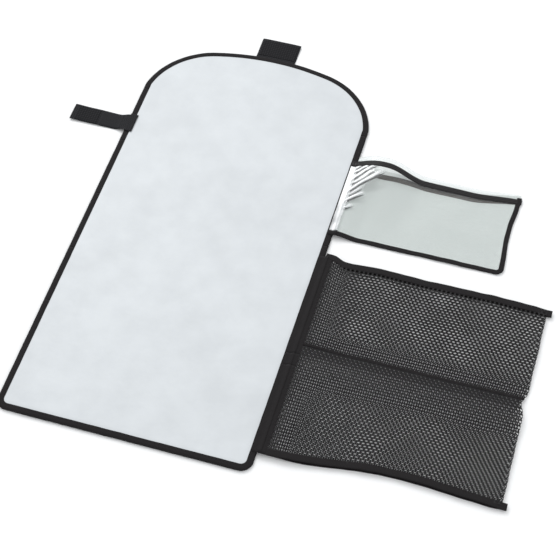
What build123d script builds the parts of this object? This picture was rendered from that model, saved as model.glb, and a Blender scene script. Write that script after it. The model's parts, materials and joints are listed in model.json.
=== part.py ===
from build123d import *
import math
import os

# A travel changing pad that folds into a clutch, laid out flat and face up.
# Millimetres. X runs across the mat towards its pockets, Y runs from the lower edge to the rounded flap,
# Z is up. Lengths below are measured from the mat's lower left corner; export() moves everything so that
# the origin is under the centre of the upper section, on the surface that the pad lies on.

# --- driving dimensions: the mat -------------------------------------------------------------------
MAT_WIDTH = 255.0
MAT_LENGTH = 513.0
SHOULDER_Y = 438.0              # where the straight sides end and the rounded flap begins
SHOULDER_LEAN = math.radians(10)  # how far the curve already leans in at the shoulder
FLAP_CORNER_RADIUS = 84.0
LOWER_CORNER_RADIUS = 12.0

MAT_THICKNESS = 3.6             # over the binding, and the height of every crosswise fold
BINDING_WIDTH = 7.0
BINDING_CLOTH = 0.5
COVER_CLOTH = 0.4
BACKING_CLOTH = 0.4

# How far in from the mat's outline each layer ends. The cloths step at the binding's inner edge, and the
# two levels of the step lap each other a little.
CLOTH_INSET = 0.6
STEP_INSET = 7.2
STEP_LAP_INSET = 8.0
NIPPED_FOAM_INSET = 3.0
FULL_FOAM_INSET = 8.2

# --- driving dimensions: the folds -----------------------------------------------------------------
LOWER_LENGTH = 123.0            # lower section, folded first
FIRST_SPINE = 14.0              # bends round the folded mesh pockets
MIDDLE_LENGTH = 124.0
SECOND_SPINE = 25.0             # bends round two sections, the mesh pockets and the pouch
UPPER_LENGTH = 128.5            # the folded first spine stands within it
THIRD_SPINE = 29.0              # bends round the whole stack
FOLD_CLEARANCE = 0.15           # each side of a fold line

# --- driving dimensions: pockets and pouch ----------------------------------------------------------
# They fold in onto the mat about a lengthwise line 0.5 mm outside its right edge and 5.1 mm up, which
# leaves 0.4 mm between the folded pocket and the mat's binding.
PANEL_START_X = MAT_WIDTH + 1.0
POCKET_THICKNESS = 6.2
MESH_CLOTH = 0.6
HEM_THICKNESS = 0.9
HEM_WIDTH = 8.0
MESH_PANEL_WIDTH = 230.0
HEM_EAR = 4.0                   # the hems run on past the folded outer edge
PANEL_BINDING_WIDTH = 8.0
LOWER_MOUTH_Y = 28.0
UPPER_MOUTH_Y = 259.5
POCKET_SETBACK = 2.6            # room for the thin mesh that bends with the first spine
STRIP_BOTTOM = 4.4              # centres the strip on the height about which the panel folds in
STRIP_THICKNESS = 1.4
DIVIDER_TOP_Y = 152.0
DIVIDER_CHAMFER = 2.0

POUCH_WIDTH = 177.0
POUCH_BOTTOM_Y = 289.0
POUCH_BINDING_TOP_Y = 393.0
POUCH_LIP_Y = 397.0             # the film stands past its closure strips
POUCH_FILM = 0.4
POUCH_BINDING_WIDTH = 6.0
CLOSURE_STRIP_WIDTH = 7.0
CLOSURE_STRIP_BOTTOM_Y = 384.0
CLOSURE_STRIP_THICKNESS = 0.5
POUCH_CORNER_RADIUS = 5.5

# --- driving dimensions: strap, tab and patches -------------------------------------------------------
WEBBING = 1.4
PATCH = 0.8
STRAP_WIDTH = 22.0
STRAP_CENTRE_Y = 376.0
STRAP_LENGTH = 63.0
STRAP_BASE_REACH = 9.0          # how far the strap's base laps onto the mat
STRAP_BASE_CLOTH = 1.2
STRAP_BASE_MARGIN = 1.5
STRAP_START_GAP = 1.0           # between the webbing and the mat's edge
STRAP_PATCH_MARGIN = 1.0        # from each side of the webbing, and from the fold in its middle
STRAP_BARE_END = 5.0            # webbing left bare at its root and at its free end

TAB_WIDTH = 45.0
TAB_LENGTH = 27.5
TAB_START_Y = MAT_LENGTH + 0.9
TAB_PATCH_MARGIN = 2.0

LANDING_WIDTH = 60.0            # loop patch on the backing, where the tab lands
LANDING_LENGTH = 38.0
LANDING_BOTTOM_Y = 200.0

# --- where the folds fall -------------------------------------------------------------------------------
FIRST_SPINE_Y = LOWER_LENGTH
MIDDLE_Y = FIRST_SPINE_Y + FIRST_SPINE
SECOND_SPINE_Y = MIDDLE_Y + MIDDLE_LENGTH
UPPER_Y = SECOND_SPINE_Y + SECOND_SPINE
THIRD_SPINE_Y = UPPER_Y + UPPER_LENGTH
FLAP_Y = THIRD_SPINE_Y + THIRD_SPINE
ORIGIN_X = MAT_WIDTH / 2
ORIGIN_Y = UPPER_Y + UPPER_LENGTH / 2


def export(name, shape):
    """Write one sub-part, moved so that the origin is under the upper section's centre."""
    placed = Pos(-ORIGIN_X, -ORIGIN_Y, 0) * shape
    export_step(placed, f"parts/{name}.step")


def block(x, y, z):
    """A plain rectangular solid from its (low, high) extents."""
    size = (x[1] - x[0], y[1] - y[0], z[1] - z[0])
    centre = ((x[0] + x[1]) / 2, (y[0] + y[1]) / 2, (z[0] + z[1]) / 2)
    return Pos(*centre) * Box(*size)


def mat_outline():
    """The mat's outline: straight sides, small lower corners, and a flap of three tangent arcs."""
    half = MAT_WIDTH / 2
    corner_x = FLAP_CORNER_RADIUS * math.cos(SHOULDER_LEAN)
    corner_y = SHOULDER_Y - FLAP_CORNER_RADIUS * math.sin(SHOULDER_LEAN)
    # The top arc touches both corner arcs and passes through the end of the flap.
    across = half - corner_x
    rise = MAT_LENGTH - corner_y
    top_radius = (across**2 + rise**2 - FLAP_CORNER_RADIUS**2) / (2 * (rise - FLAP_CORNER_RADIUS))
    top_y = MAT_LENGTH - top_radius
    lean = math.atan2(across, corner_y - top_y)
    touch = (
        corner_x - FLAP_CORNER_RADIUS * math.sin(lean),
        corner_y + FLAP_CORNER_RADIUS * math.cos(lean),
    )
    halfway = (math.pi - SHOULDER_LEAN + math.pi / 2 + lean) / 2
    mid = (
        corner_x + FLAP_CORNER_RADIUS * math.cos(halfway),
        corner_y + FLAP_CORNER_RADIUS * math.sin(halfway),
    )
    left_corner = ThreePointArc((0, SHOULDER_Y), mid, touch)
    top = ThreePointArc(touch, (half, MAT_LENGTH), (MAT_WIDTH - touch[0], touch[1]))
    right_corner = ThreePointArc(
        (MAT_WIDTH - touch[0], touch[1]), (MAT_WIDTH - mid[0], mid[1]), (MAT_WIDTH, SHOULDER_Y)
    )
    sides = Polyline((MAT_WIDTH, SHOULDER_Y), (MAT_WIDTH, 0), (0, 0), (0, SHOULDER_Y))
    face = make_face(Curve() + [left_corner, top, right_corner, sides])
    lower = face.vertices().group_by(Axis.Y)[0]
    return fillet(lower, LOWER_CORNER_RADIUS)


def shrunk(outline, by):
    return offset(outline, amount=-by, kind=Kind.INTERSECTION)


def raised(plan, bottom, top):
    """A plan on the ground made a solid between two heights."""
    return Pos(0, 0, bottom) * extrude(plan, top - bottom)


class Section:
    """One stretch of the mat between two fold lines, with its four layers."""

    def __init__(self, outline, start_y, end_y):
        self.outline = outline
        # At the mat's two ends the band runs on past the outline, and elsewhere it stops short of the fold.
        low = start_y + (FOLD_CLEARANCE if start_y > 0 else -1)
        high = end_y - (FOLD_CLEARANCE if end_y < MAT_LENGTH else -1)
        centre = (low + high) / 2
        self.band = Pos(MAT_WIDTH / 2, centre) * Rectangle(2 * MAT_WIDTH, high - low)

    def plan(self, inset):
        return shrunk(self.outline, inset) & self.band

    def cover(self):
        """Top cloth: held low in the binding all round, lifted by the foam inside it."""
        low = MAT_THICKNESS - BINDING_CLOTH - COVER_CLOTH
        edge = self.plan(CLOTH_INSET) - self.plan(STEP_LAP_INSET)
        held = raised(edge, low, low + COVER_CLOTH)
        lifted = raised(self.plan(STEP_INSET), low + COVER_CLOTH, low + 2 * COVER_CLOTH)
        return held + lifted

    def backing(self):
        """Under cloth: flush with the binding's underside, stepped up into the binding."""
        edge = self.plan(CLOTH_INSET) - self.plan(STEP_LAP_INSET)
        held = raised(edge, BINDING_CLOTH, BINDING_CLOTH + BACKING_CLOTH)
        flush = raised(self.plan(STEP_INSET), 0, BINDING_CLOTH)
        return held + flush

    def foam(self):
        """Foam sheet, pressed thinner where the binding nips its edge."""
        nipped_bottom = BINDING_CLOTH + BACKING_CLOTH
        nipped_top = MAT_THICKNESS - BINDING_CLOTH - COVER_CLOTH
        nipped = raised(self.plan(NIPPED_FOAM_INSET), nipped_bottom, nipped_top)
        full = raised(self.plan(FULL_FOAM_INSET), BINDING_CLOTH, MAT_THICKNESS - BINDING_CLOTH)
        return nipped + full

    def binding(self):
        """Tape folded over the edge of all three layers."""
        tape = raised(self.plan(0.0) - self.plan(BINDING_WIDTH), 0, MAT_THICKNESS)
        slot = raised(self.plan(CLOTH_INSET), BINDING_CLOTH, MAT_THICKNESS - BINDING_CLOTH)
        return tape - slot

    def export_all(self, name):
        export(f"{name}_cover", self.cover())
        export(f"{name}_foam", self.foam())
        export(f"{name}_binding", self.binding())


def mat_sections():
    """The four panels of the mat and the three spines between them."""
    outline = mat_outline()
    spans = {
        "lower": (0.0, FIRST_SPINE_Y),
        "first_spine": (FIRST_SPINE_Y, MIDDLE_Y),
        "middle": (MIDDLE_Y, SECOND_SPINE_Y),
        "second_spine": (SECOND_SPINE_Y, UPPER_Y),
        "upper": (UPPER_Y, THIRD_SPINE_Y),
        "third_spine": (THIRD_SPINE_Y, FLAP_Y),
        "flap": (FLAP_Y, MAT_LENGTH),
    }
    landing = landing_patch()
    for name, (start_y, end_y) in spans.items():
        section = Section(outline, start_y, end_y)
        section.export_all(name)
        backing = section.backing()
        if name == "middle":
            backing = backing - landing
        export(f"{name}_backing", backing)
    export("landing_loop_patch", landing)


def landing_patch():
    """Loop patch let into the backing, flush with it."""
    centre = MAT_WIDTH / 2
    return block(
        (centre - LANDING_WIDTH / 2, centre + LANDING_WIDTH / 2),
        (LANDING_BOTTOM_Y, LANDING_BOTTOM_Y + LANDING_LENGTH),
        (0, BINDING_CLOTH),
    )


def panel_binding(start_y, end_y, width, bottom=0.0, top=POCKET_THICKNESS):
    """Tape that closes a pocket along the mat and carries it."""
    return block((PANEL_START_X, PANEL_START_X + width), (start_y, end_y), (bottom, top))


def mesh_pocket(name, mouth_y, inner_y):
    """One mesh pocket: back and front mesh, the mesh round its outer edge, and the hems of its mouth."""
    inner_x = PANEL_START_X + PANEL_BINDING_WIDTH
    outer_x = PANEL_START_X + MESH_PANEL_WIDTH
    inwards = 1 if inner_y > mouth_y else -1
    hem_y = sorted((mouth_y, mouth_y + inwards * HEM_WIDTH))
    mesh_y = sorted((mouth_y + inwards * HEM_WIDTH, inner_y))
    side_y = sorted((mouth_y, inner_y))
    top = POCKET_THICKNESS
    across = (inner_x, outer_x - MESH_CLOTH)
    export(f"{name}_back_mesh", block(across, mesh_y, (0, MESH_CLOTH)))
    export(f"{name}_front_mesh", block(across, mesh_y, (top - MESH_CLOTH, top)))
    export(f"{name}_outer_fold", block((outer_x - MESH_CLOTH, outer_x), mesh_y, (0, top)))
    hem_x = (inner_x, outer_x + HEM_EAR)
    export(f"{name}_back_hem", block(hem_x, hem_y, (0, HEM_THICKNESS)))
    export(f"{name}_front_hem", block(hem_x, hem_y, (top - HEM_THICKNESS, top)))
    export(f"{name}_side_binding", panel_binding(*side_y, PANEL_BINDING_WIDTH))


def mesh_panel():
    """Two mesh pockets that open away from each other, and the thin mesh between them that bends."""
    mesh_pocket("lower_pocket", LOWER_MOUTH_Y, FIRST_SPINE_Y - POCKET_SETBACK)
    mesh_pocket("upper_pocket", UPPER_MOUTH_Y, DIVIDER_TOP_Y)
    strip_y = (FIRST_SPINE_Y + FOLD_CLEARANCE, MIDDLE_Y - FOLD_CLEARANCE)
    strip_z = (STRIP_BOTTOM, STRIP_BOTTOM + STRIP_THICKNESS)
    inner_x = PANEL_START_X + PANEL_BINDING_WIDTH
    outer_x = PANEL_START_X + MESH_PANEL_WIDTH
    export("pocket_fold_mesh", block((inner_x, outer_x), strip_y, strip_z))
    export("pocket_fold_binding", panel_binding(*strip_y, PANEL_BINDING_WIDTH, *strip_z))
    divider_start = MIDDLE_Y + POCKET_SETBACK
    divider = block((inner_x, outer_x), (divider_start, DIVIDER_TOP_Y), (0, POCKET_THICKNESS))
    top_edges = divider.edges().filter_by(Axis.X).group_by(Axis.Z)[-1]
    export("pocket_divider", chamfer(top_edges, DIVIDER_CHAMFER))
    divider_side = panel_binding(divider_start, DIVIDER_TOP_Y, PANEL_BINDING_WIDTH)
    export("pocket_divider_binding", divider_side)


def pouch():
    """Clear pouch: two films, bound on three sides, with a closure strip inside each lip of the mouth."""
    inner_x = PANEL_START_X + POUCH_BINDING_WIDTH
    right_x = PANEL_START_X + POUCH_WIDTH
    outer_x = right_x - POUCH_BINDING_WIDTH
    film_x = (inner_x, outer_x)
    film_y = (POUCH_BOTTOM_Y + POUCH_BINDING_WIDTH, POUCH_LIP_Y)
    strip_y = (CLOSURE_STRIP_BOTTOM_Y, CLOSURE_STRIP_BOTTOM_Y + CLOSURE_STRIP_WIDTH)
    top = POCKET_THICKNESS
    inside = top - POUCH_FILM
    export("pouch_back_film", block(film_x, film_y, (0, POUCH_FILM)))
    export("pouch_front_film", block(film_x, film_y, (inside, top)))
    back_strip = block(film_x, strip_y, (POUCH_FILM, POUCH_FILM + CLOSURE_STRIP_THICKNESS))
    front_strip = block(film_x, strip_y, (inside - CLOSURE_STRIP_THICKNESS, inside))
    export("pouch_back_closure", back_strip)
    export("pouch_front_closure", front_strip)
    sides_y = (POUCH_BOTTOM_Y, POUCH_BINDING_TOP_Y)
    export("pouch_side_binding", panel_binding(*sides_y, POUCH_BINDING_WIDTH))
    bottom_y = (POUCH_BOTTOM_Y, POUCH_BOTTOM_Y + POUCH_BINDING_WIDTH)
    export("pouch_bottom_binding", block(film_x, bottom_y, (0, top)))
    outer = block((outer_x, right_x), sides_y, (0, top))
    corner = outer.edges().filter_by(Axis.Z).group_by(Axis.Y)[0].sort_by(Axis.X)[-1]
    export("pouch_outer_binding", fillet(corner, POUCH_CORNER_RADIUS))


def side_strap():
    """Strap on the left edge: a base lapped onto the mat, and two webbing lengths that close up."""
    width = (STRAP_CENTRE_Y - STRAP_WIDTH / 2, STRAP_CENTRE_Y + STRAP_WIDTH / 2)
    base_y = (width[0] - STRAP_BASE_MARGIN, width[1] + STRAP_BASE_MARGIN)
    base_z = (MAT_THICKNESS, MAT_THICKNESS + STRAP_BASE_CLOTH)
    export("strap_base", block((0, STRAP_BASE_REACH), base_y, base_z))
    middle = -STRAP_LENGTH / 2
    inner_x = (middle + FOLD_CLEARANCE, -STRAP_START_GAP)
    outer_x = (-STRAP_LENGTH, middle - FOLD_CLEARANCE)
    webbing_z = (0, WEBBING)
    patch_z = (WEBBING, WEBBING + PATCH)
    patch_y = (width[0] + STRAP_PATCH_MARGIN, width[1] - STRAP_PATCH_MARGIN)
    loop_x = (inner_x[0] + STRAP_PATCH_MARGIN, inner_x[1] - STRAP_BARE_END)
    hook_x = (outer_x[0] + STRAP_BARE_END, outer_x[1] - STRAP_PATCH_MARGIN)
    export("strap_inner_webbing", block(inner_x, width, webbing_z))
    export("strap_outer_webbing", block(outer_x, width, webbing_z))
    export("strap_loop_patch", block(loop_x, patch_y, patch_z))
    export("strap_hook_patch", block(hook_x, patch_y, patch_z))


def closing_tab():
    """Webbing tab at the end of the flap, with its hook patch on the upper face."""
    centre = MAT_WIDTH / 2
    x = (centre - TAB_WIDTH / 2, centre + TAB_WIDTH / 2)
    y = (TAB_START_Y, TAB_START_Y + TAB_LENGTH)
    export("tab_webbing", block(x, y, (0, WEBBING)))
    patch_x = (x[0] + TAB_PATCH_MARGIN, x[1] - TAB_PATCH_MARGIN)
    patch_y = (y[0] + 2 * TAB_PATCH_MARGIN, y[1] - TAB_PATCH_MARGIN)
    export("tab_hook_patch", block(patch_x, patch_y, (WEBBING, WEBBING + PATCH)))


os.makedirs("parts", exist_ok=True)
mat_sections()
mesh_panel()
pouch()
side_strap()
closing_tab()
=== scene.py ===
"""A travel changing pad, laid open and face up: padded mat, mesh pockets, clear pouch, strap and closing tab.

Everything is in metres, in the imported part's own frame: X across the mat, Y towards its arched flap, Z up.
"""

import json
import math

import bmesh
import bpy
from bpy.props import FloatProperty, FloatVectorProperty, PointerProperty
from mathutils import Matrix, Vector, noise


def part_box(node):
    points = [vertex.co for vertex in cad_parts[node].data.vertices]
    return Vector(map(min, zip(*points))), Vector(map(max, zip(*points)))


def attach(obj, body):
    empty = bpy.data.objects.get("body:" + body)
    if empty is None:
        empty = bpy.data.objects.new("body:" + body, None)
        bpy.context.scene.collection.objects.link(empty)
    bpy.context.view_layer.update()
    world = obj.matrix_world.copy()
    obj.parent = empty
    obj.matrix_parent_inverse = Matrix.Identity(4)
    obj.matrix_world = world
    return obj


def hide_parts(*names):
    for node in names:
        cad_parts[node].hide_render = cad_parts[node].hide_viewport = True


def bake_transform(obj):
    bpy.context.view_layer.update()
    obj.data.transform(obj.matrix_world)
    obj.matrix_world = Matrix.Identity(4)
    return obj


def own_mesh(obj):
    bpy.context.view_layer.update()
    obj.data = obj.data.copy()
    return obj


bl_info = {
    "name": "Folding Changing Pad",
    "version": (1, 0, 0),
    "blender": (4, 5, 0),
    "location": "View3D > Sidebar > Changing Pad",
    "description": "Builds a folding changing pad with mesh pockets and a clear pouch",
    "category": "Object",
}

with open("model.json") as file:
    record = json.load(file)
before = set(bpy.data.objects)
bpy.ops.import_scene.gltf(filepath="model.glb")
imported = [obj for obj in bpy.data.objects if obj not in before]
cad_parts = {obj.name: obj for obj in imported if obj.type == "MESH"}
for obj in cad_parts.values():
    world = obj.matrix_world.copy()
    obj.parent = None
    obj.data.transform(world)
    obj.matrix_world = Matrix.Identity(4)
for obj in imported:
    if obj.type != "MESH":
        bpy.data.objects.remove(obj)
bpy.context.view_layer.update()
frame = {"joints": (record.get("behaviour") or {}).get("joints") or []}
JOINTS = {joint["name"]: Vector(joint["pos_m"]) for joint in frame["joints"]}

MM = 0.001
UP = Vector((0, 0, 1))

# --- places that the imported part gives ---

HALF_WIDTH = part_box("upper_binding")[1].x
MAT_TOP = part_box("upper_binding")[1].z
MAT_LOW_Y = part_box("lower_binding")[0].y
MAT_HIGH_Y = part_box("flap_binding")[1].y

# The mat's bodies from its lower edge to its flap, and the fold line between each and the next.
FOLD_JOINTS = (
    "first_fold_lower", "first_fold_middle", "second_fold_middle",
    "second_fold_upper", "flap_fold_upper", "flap_fold_flap",
)
FOLD_YS = [JOINTS[name].y for name in FOLD_JOINTS]

# Each strip of the mat's cloth crosses one fold line. Strips meet halfway between fold lines.
STRIP_NAMES = ("lower", "middle_low", "middle_high", "upper_low", "upper_high", "flap")
STRIP_NODES = (
    ("lower",), ("first_spine", "middle"), ("second_spine",), ("upper",), ("third_spine",), ("flap",),
)
STRIP_YS = [MAT_LOW_Y, *((low + high) / 2 for low, high in zip(FOLD_YS, FOLD_YS[1:])), MAT_HIGH_Y]
SPINE_WIDTHS = [
    width for low, high in zip(FOLD_YS[::2], FOLD_YS[1::2]) for width in (high - low, high - low)
]


# --- sizes and colours that a user would change ---

def length(name, description, millimetres):
    """A length, given in millimetres and kept in metres."""
    return FloatProperty(
        name=name, description=description, default=millimetres * MM, unit="LENGTH", precision=5
    )


def angle(name, description, degrees):
    """An angle, given in degrees and kept in radians."""
    return FloatProperty(
        name=name, description=description, default=math.radians(degrees), unit="ROTATION"
    )


def colour(name, description, rgb):
    """A colour, as linear red, green and blue."""
    return FloatVectorProperty(
        name=name, description=description, default=rgb, subtype="COLOR", min=0.0, max=1.0
    )


class PadMatSizes(bpy.types.PropertyGroup):
    """The padded mat: its outline and its layers."""

    arch_height: length("Arch height", "From the shoulders to the end of the flap", 75)
    arch_lean: angle("Arch lean", "How far the curve leans in at the shoulder", 10)
    arch_corner: length("Arch corner", "Radius of the flap's two corner arcs", 84)
    lower_corner: length("Lower corner", "Radius of the lower corners", 12)
    binding_width: length("Binding width", "How far the edge tape laps onto the cover", 6.4)
    tape: length("Tape", "Thickness of the edge tape", 0.5)
    cover_cloth: length("Cover cloth", "Thickness of the wipe-clean cover", 0.35)
    backing_cloth: length("Backing cloth", "Thickness of the woven backing", 0.4)
    swell: length("Swell", "Height of the cover's gentle waves", 0.3)
    stitch_pitch: length("Stitch pitch", "From one stitch to the next", 3.5)
    stitch_length: length("Stitch length", "Length of one stitch", 2.4)
    stitch_width: length("Stitch width", "Thickness of the sewing thread", 0.55)


class PadMeshSizes(bpy.types.PropertyGroup):
    """The knitted mesh pockets."""

    pitch: length("Hole pitch", "From one hole to the next in a row", 4.5)
    row: length("Row pitch", "From one row of holes to the next", 3.2)
    hole_width: length("Hole width", "Across one hole, along its row", 3.35)
    hole_height: length("Hole height", "Across one hole, between rows", 3.1)
    thread: length("Thread", "Thickness of the knitted thread", 0.34)
    slack: length("Slack", "How far the front layer stands off the back one", 3.4)
    turn: length("Outer turn", "Mesh used up by the folded outer edge", 6)
    pull: length("Seam pull", "How far the seam draws in the outer edge", 4)
    hem_width: length("Hem width", "Width of the hem tapes", 7.4)
    hem_tape: length("Hem tape", "Thickness of the hem tapes", 1.1)


class PadPouchSizes(bpy.types.PropertyGroup):
    """The clear pouch."""

    arch: length("Mouth arch", "How high the open mouth bows", 9.2)
    rest: length("Rest height", "Height of the front film where it lies flat", 1.3)
    film: length("Film", "Thickness of the film", 0.3)
    binding_width: length("Pouch binding", "Width of the pouch's edge tape", 5.2)
    crease: length("Crease height", "Height of the creases by the mat", 1.5)


class PadColours(bpy.types.PropertyGroup):
    """Colours of the cloths, tapes and films."""

    cover: colour("Cover", "Wipe-clean cover", (0.625, 0.652, 0.672))
    binding: colour("Binding", "Edge tapes", (0.0095, 0.0082, 0.0088))
    backing: colour("Backing", "Woven backing", (0.016, 0.0165, 0.018))
    webbing: colour("Webbing", "Strap and tab", (0.0145, 0.0145, 0.0160))
    mesh: colour("Mesh", "Knitted mesh", (0.0085, 0.008, 0.0085))
    foam: colour("Foam", "Sheet foam", (0.72, 0.72, 0.68))
    milky: colour("Milky film", "Back of the pouch", (0.772, 0.784, 0.773))
    film: colour("Clear film", "What the clear film lets through", (0.955, 0.967, 0.962))
    closure: colour("Closure", "Press-closure strip inside the pouch", (0.075, 0.062, 0.054))
    ground: colour("Ground", "The floor", (0.96, 0.96, 0.96))


class PadView(bpy.types.PropertyGroup):
    """Where the camera stands, and how bright the studio is."""

    aim: FloatVectorProperty(
        name="Aim", description="The point that the camera looks at", default=(0.0913, -0.1287, 0.0),
        subtype="TRANSLATION", unit="LENGTH",
    )
    azimuth: angle("Azimuth", "How far round the camera stands", 16.43)
    elevation: angle("Elevation", "How far up the camera stands", 53.81)
    distance: length("Distance", "From the camera to its aim", 1563.4)
    lens: FloatProperty(name="Lens", description="Focal length", default=99.57, unit="CAMERA")


# --- small sums ---

def smooth(value):
    """0 up to 1, eased at both ends."""
    value = min(max(value, 0.0), 1.0)
    return value * value * (3 - 2 * value)


def mix(low, high, share):
    return low + (high - low) * share


def ripple(x, y, size, seed):
    """A smooth wave of about that size, from -1 to 1, the same on every run."""
    return noise.noise(Vector((x / size, y / size, seed)))


class Walk:
    """A line on the ground, walked as straight legs and arcs: (turn before it, its length, its radius)."""

    def __init__(self, start, heading, legs):
        self.start = Vector(start)
        self.heading = heading
        self.legs = legs
        self.length = sum(leg[1] for leg in legs)

    def at(self, walked):
        """The point this far along, and the way to its left."""
        place = self.start.copy()
        heading = self.heading
        for turn, leg, radius in self.legs:
            heading += turn
            step = min(walked, leg)
            if radius:
                swing = step / radius
                place += radius * Vector((
                    math.sin(heading + swing) - math.sin(heading),
                    math.cos(heading) - math.cos(heading + swing),
                ))
                heading += swing
            else:
                place += step * Vector((math.cos(heading), math.sin(heading)))
            walked -= step
            if walked <= 0:
                break
        return place, Vector((-math.sin(heading), math.cos(heading)))


class Outline:
    """The mat's edge, walked from the middle of its lower end up the right side to the middle of its arch.

    A negative walk goes up the left side, and one past the arch's middle comes down it.
    """

    def __init__(self, sizes):
        self.corner = sizes.lower_corner
        self.arch = sizes.arch_corner
        self.lean = sizes.arch_lean
        self.shoulder_y = MAT_HIGH_Y - sizes.arch_height
        self.arch_x = HALF_WIDTH - self.arch * math.cos(self.lean)
        self.arch_y = self.shoulder_y - self.arch * math.sin(self.lean)
        rise = MAT_HIGH_Y - self.arch_y
        self.top_radius = (self.arch_x**2 + rise**2 - self.arch**2) / (2 * (rise - self.arch))
        self.top_y = MAT_HIGH_Y - self.top_radius
        self.top_turn = math.atan2(self.arch_x, self.arch_y - self.top_y)
        self.corner_walk = HALF_WIDTH - self.corner + self.corner * math.pi / 2
        self.shoulder_walk = self.corner_walk + self.shoulder_y - (MAT_LOW_Y + self.corner)
        arch_turn = math.pi / 2 - self.lean - self.top_turn
        self.walk = Walk((0, MAT_LOW_Y), 0.0, [
            (0, HALF_WIDTH - self.corner, None),
            (0, self.corner * math.pi / 2, self.corner),
            (0, self.shoulder_walk - self.corner_walk, None),
            (self.lean, self.arch * arch_turn, self.arch),
            (0, self.top_radius * self.top_turn, self.top_radius),
        ])
        self.length = self.walk.length

    def plain(self, walked):
        side = 1
        if walked < 0:
            side, walked = -1, -walked
        if walked > self.length:
            side, walked = -side, 2 * self.length - walked
        place, inward = self.walk.at(walked)
        return Vector((side * place.x, place.y)), Vector((side * inward.x, inward.y))

    def at(self, walked):
        """The edge's point this far round, and the way in from it, eased where the edge turns sharply."""
        ease = 4 * MM
        inward = self.plain(walked - ease)[1] + self.plain(walked + ease)[1]
        return self.plain(walked)[0], inward.normalized()

    def walk_to(self, y):
        """How far round the height y is, on a straight side."""
        return self.corner_walk + y - (MAT_LOW_Y + self.corner)

    def depth(self, x, y):
        """How far inside the edge a point is."""
        x = abs(x)
        depth = min(HALF_WIDTH - x, y - MAT_LOW_Y)
        low_x, low_y = HALF_WIDTH - self.corner, MAT_LOW_Y + self.corner
        if x > low_x and y < low_y:
            depth = self.corner - math.hypot(x - low_x, y - low_y)
        if y > self.arch_y:
            turn = math.atan2(y - self.arch_y, x - self.arch_x)
            if turn > math.pi / 2 - self.top_turn:
                depth = min(depth, self.top_radius - math.hypot(x, y - self.top_y))
            elif turn > self.lean:
                depth = min(depth, self.arch - math.hypot(x - self.arch_x, y - self.arch_y))
        return depth


# --- making meshes ---

def grid(columns, rows, place):
    """A sheet of quads. place(u, v) gives each corner's position, and where it is on the flat cloth."""
    bm = bmesh.new()
    flat = bm.loops.layers.uv.new("UVMap")
    bmesh.ops.create_grid(bm, x_segments=columns, y_segments=rows, size=0.5)
    spots = {vert: place(vert.co.x + 0.5, vert.co.y + 0.5) for vert in bm.verts}
    for face in bm.faces:
        for loop in face.loops:
            loop[flat].uv = spots[loop.vert][1]
    for vert, (position, _) in spots.items():
        vert.co = position
    return bm


def band(width, thickness, corners=16):
    """A soft flat section, as (across, up) corners, centred on its middle."""
    section = []
    for number in range(corners):
        turn = 2 * math.pi * number / corners
        across, up = math.cos(turn), math.sin(turn)
        section.append((
            math.copysign(abs(across) ** 0.45, across) * width / 2,
            math.copysign(abs(up) ** 0.7, up) * thickness / 2,
        ))
    return section


def tape(walked, spacing, frame_at, section):
    """Tape of one closed section. frame_at(share) gives its middle, and its across and up directions."""
    corners = section + section[:1]
    girth = [0.0]
    for one, two in zip(corners, corners[1:]):
        girth.append(girth[-1] + math.dist(one, two))

    def place(u, v):
        number = round(v * len(section))
        across, up = corners[number]
        middle, side, above = frame_at(u)
        return middle + side * across + above * up, (u * walked, girth[number])

    bm = grid(max(2, round(walked / spacing)), len(section), place)
    bmesh.ops.remove_doubles(bm, verts=bm.verts, dist=1e-6)
    bmesh.ops.holes_fill(bm, edges=[edge for edge in bm.edges if edge.is_boundary])
    bmesh.ops.recalc_face_normals(bm, faces=bm.faces)
    return bm


def stitches(walked, sizes, frame_at, across, up):
    """A row of stitches, one small pill each, drawn into the tape."""
    bm = bmesh.new()
    count = max(2, round(walked / sizes.stitch_pitch))
    pill = Matrix.Diagonal((sizes.stitch_length / 2, sizes.stitch_width / 2, sizes.stitch_width / 2.4, 1))
    for number in range(count):
        middle, side, above = frame_at((number + 0.5) / count)
        turn = Matrix((side.cross(above), side, above)).transposed().to_4x4()
        spot = Matrix.Translation(middle + side * across + above * up)
        bmesh.ops.create_icosphere(bm, subdivisions=1, radius=1, matrix=spot @ turn @ pill)
    return bm


def joined(*parts):
    """Several bmeshes as one."""
    whole = bmesh.new()
    spare = bpy.data.meshes.new("spare")
    for part in parts:
        part.to_mesh(spare)
        part.free()
        whole.from_mesh(spare)
    bpy.data.meshes.remove(spare)
    return whole


# Waves in each kind of tape: how far they reach, their size, and which pattern they follow.
EDGE_WAVES = (0.16 * MM, 13 * MM, 4)
HEM_WAVES = (0.5 * MM, 16 * MM, 5)
SEAM_WAVES = (0.3 * MM, 9 * MM, 6)
SIDE_WAVES = (0.15 * MM, 12 * MM, 7)
POUCH_WAVES = (0.5 * MM, 17 * MM, 8)
CLOSURE_WAVES = (0.15 * MM, 14 * MM, 9)


def soften(bm, amount, size, seed):
    """Small uneven waves, as any sewn cloth has. The same place always moves the same way."""
    for vert in bm.verts:
        x, y, z = vert.co / size
        vert.co += amount * noise.noise_vector(Vector((x, y, z + seed)))


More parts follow.
